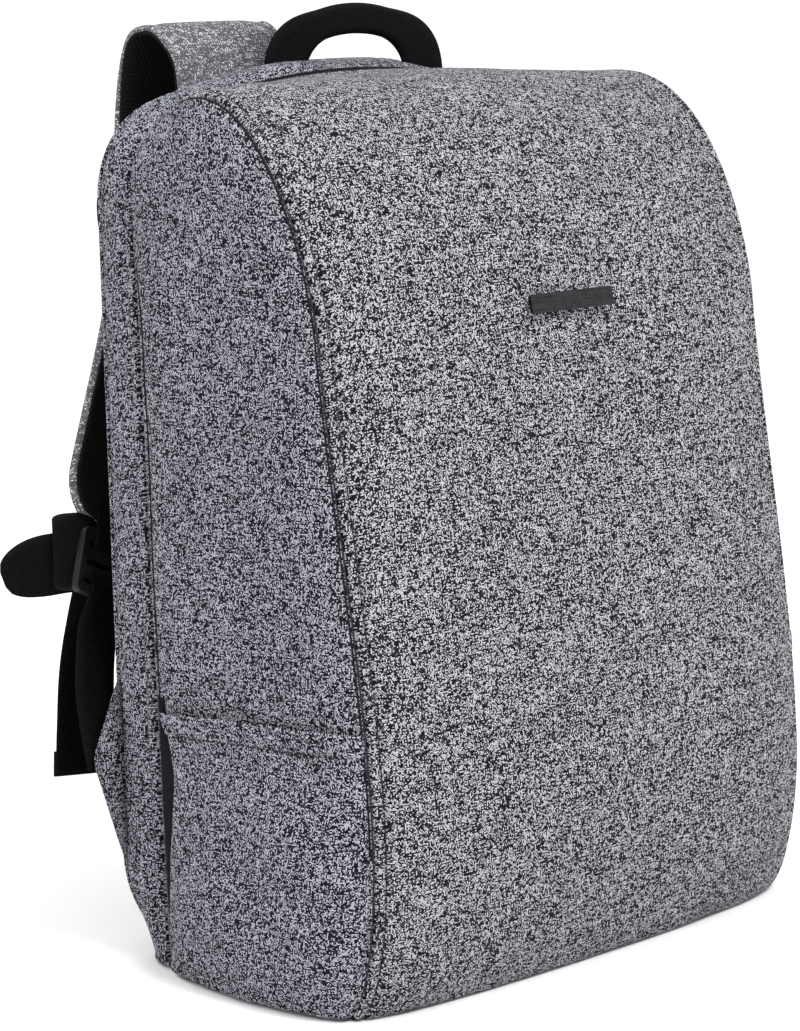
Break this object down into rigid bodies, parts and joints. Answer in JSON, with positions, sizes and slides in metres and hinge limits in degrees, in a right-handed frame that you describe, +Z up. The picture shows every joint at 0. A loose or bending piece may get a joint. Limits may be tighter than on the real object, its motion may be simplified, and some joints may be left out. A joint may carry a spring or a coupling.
{
  "type": "laptop backpack",
  "caption": "Soft-sided laptop backpack with a smooth wrap-over front, side pockets, padded shoulder straps, a carry handle and a zipped back section that folds down.",
  "frame": {"origin": "the middle of the base's flat underside, between the side seams and 75 mm in front of the zip line", "axes": "+Z up from the base to the carry handle, -Y towards the smooth front panel, +Y towards the wearer's back, +X to the right seen from the front"},
  "size_m": [0.3362, 0.265, 0.462],
  "materials": {
    "heather_cloth": "woven melange, matte",
    "lining_cloth": "plain weave polyester, soft sheen",
    "pocket_mesh": "knitted mesh",
    "stretch_cloth": "stretch knit, matte",
    "back_cloth": "matte weave",
    "spacer_mesh": "open spacer mesh",
    "zip_tape": "woven tape",
    "webbing": "ribbed webbing, soft sheen",
    "buckle_plastic": "fine moulded grain",
    "dark_metal": "dark plated, satin",
    "stiff_board": "satin sheet"
  },
  "bodies": {
    "shell": {"front_panel": "heather_cloth", "front_lining": "lining_cloth", "side_panel_left": "heather_cloth", "side_panel_right": "heather_cloth", "side_lining_left": "lining_cloth", "side_lining_right": "lining_cloth", "base_panel": "heather_cloth", "base_board": "stiff_board", "side_pocket_left": "heather_cloth", "side_pocket_right": "heather_cloth", "pocket_gusset_left": "stretch_cloth", "pocket_gusset_right": "stretch_cloth", "badge_plate": "dark_metal", "badge_backing": "dark_metal", "organiser_pocket": "pocket_mesh", "pen_sleeve": "lining_cloth", "zip_tape_shell": "zip_tape"},
    "back_section": {"rear_gusset": "heather_cloth", "back_board": "stiff_board", "back_panel": "back_cloth", "zip_tape_back": "zip_tape", "laptop_sleeve": "lining_cloth", "back_pad_left": "spacer_mesh", "back_pad_right": "spacer_mesh", "lumbar_pad": "spacer_mesh", "strap_anchor_left": "heather_cloth", "strap_anchor_right": "heather_cloth", "side_tab_left": "webbing", "side_tab_right": "webbing", "wing_left": "heather_cloth", "wing_right": "heather_cloth", "lower_webbing_left": "webbing", "lower_webbing_right": "webbing", "strap_root_left": "heather_cloth", "strap_root_right": "heather_cloth"},
    "carry_handle": {"carry_handle": "webbing"},
    "sleeve_strap": {"sleeve_strap": "webbing"},
    "strap_left": {"strap_pad_left": "heather_cloth", "strap_mesh_left": "spacer_mesh", "load_webbing_left": "webbing", "ladder_lock_left": "buckle_plastic", "strap_tail_left": "webbing", "adjuster_tab_left": "webbing"},
    "strap_right": {"strap_pad_right": "heather_cloth", "strap_mesh_right": "spacer_mesh", "load_webbing_right": "webbing", "ladder_lock_right": "buckle_plastic", "strap_tail_right": "webbing", "adjuster_tab_right": "webbing"},
    "zip_slider_upper": {"zip_slider_upper": "dark_metal"},
    "zip_pull_upper": {"zip_pull_upper": "webbing"},
    "zip_slider_lower": {"zip_slider_lower": "dark_metal"},
    "zip_pull_lower": {"zip_pull_lower": "webbing"}
  },
  "joints": [
    {"name": "back_opening", "type": "hinge", "parent": "shell", "child": "back_section", "pos_m": [0, 0.108, 0.002], "axis": [-1, 0, 0], "range_deg": [0, 65]},
    {"name": "handle_tilt", "type": "hinge", "parent": "back_section", "child": "carry_handle", "pos_m": [0.022, 0.1013, 0.4325], "axis": [1, 0, 0], "range_deg": [-8, 42], "stiffness_Nm_per_rad": 0.02},
    {"name": "sleeve_strap_lift", "type": "hinge", "parent": "back_section", "child": "sleeve_strap", "pos_m": [0, 0.099, 0.346], "axis": [-1, 0, 0], "range_deg": [0, 80]},
    {"name": "strap_swing_left", "type": "hinge", "parent": "back_section", "child": "strap_left", "pos_m": [-0.046, 0.136, 0.4575], "axis": [0.8387, -0.5446, 0], "range_deg": [0, 30]},
    {"name": "strap_swing_right", "type": "hinge", "parent": "back_section", "child": "strap_right", "pos_m": [0.05, 0.141, 0.4395], "axis": [1, 0, 0], "range_deg": [0, 30]},
    {"name": "zip_travel_upper", "type": "slide", "parent": "shell", "child": "zip_slider_upper", "axis": [0, 0, 1], "range_m": [0, 0.055]},
    {"name": "zip_pull_turn_upper", "type": "hinge", "parent": "zip_slider_upper", "child": "zip_pull_upper", "pos_m": [0.1556, 0.075, 0.3205], "axis": [0, -1, 0], "range_deg": [0, 160]},
    {"name": "zip_travel_lower", "type": "slide", "parent": "shell", "child": "zip_slider_lower", "axis": [0, 0, -1], "range_m": [0, 0.245]},
    {"name": "zip_pull_turn_lower", "type": "hinge", "parent": "zip_slider_lower", "child": "zip_pull_lower", "pos_m": [0.1556, 0.075, 0.2885], "axis": [0, -1, 0], "range_deg": [0, 160]}
  ]
}
